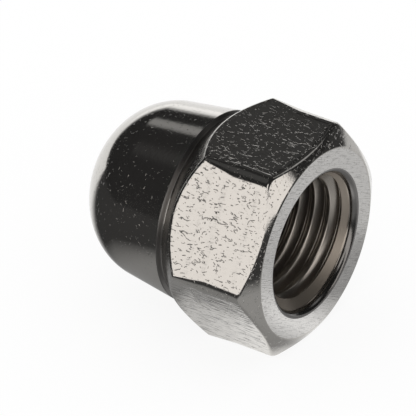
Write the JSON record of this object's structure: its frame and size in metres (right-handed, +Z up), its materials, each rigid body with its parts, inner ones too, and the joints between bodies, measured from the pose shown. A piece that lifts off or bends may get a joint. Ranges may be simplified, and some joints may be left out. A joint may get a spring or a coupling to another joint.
{
  "type": "hexagon dome nut",
  "caption": "Hexagon dome nut with a closed domed end, a ground bearing face and a blind threaded bore.",
  "frame": {"origin": "centre of the bearing face, on the thread's axis", "axes": "+X along the thread's axis, out of the open end; +Z up, square to the flat that the nut lies under; the lowest flat rests on the surface at z = -12 mm"},
  "size_m": [0.0277, 0.0276, 0.024],
  "materials": {
    "bright_steel": "cold-forged stainless steel, polished bright, with a ground bearing face"
  },
  "bodies": {
    "root": {"dome_nut": "bright_steel"}
  },
  "joints": []
}
